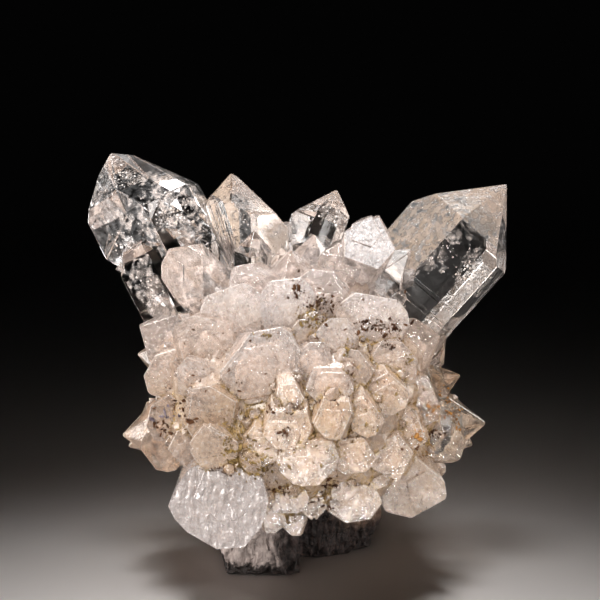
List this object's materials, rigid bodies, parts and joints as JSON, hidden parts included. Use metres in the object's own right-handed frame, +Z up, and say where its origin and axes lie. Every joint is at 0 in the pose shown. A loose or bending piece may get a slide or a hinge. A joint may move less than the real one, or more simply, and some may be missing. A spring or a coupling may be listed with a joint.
{
  "type": "skeletal quartz cluster",
  "caption": "Intergrown spray of clear to milky skeletal quartz crystals on a small dark root, cut flat so that it stands upright.",
  "frame": {"origin": "on the flat underside of the root that the cluster rests on, near its middle", "axes": "+Z up out of the flat underside, -Y towards the side that shows best, +X towards the large clear wing on that side's right"},
  "size_m": [0.0609, 0.048, 0.0598],
  "materials": {
    "quartz": "natural crystal faces, clear and glossy at the tips, frosted and milky towards the middle",
    "matrix": "rough broken rock with brown clay"
  },
  "bodies": {
    "root": {"quartz_cluster": "quartz", "matrix_base": "matrix"}
  },
  "joints": []
}
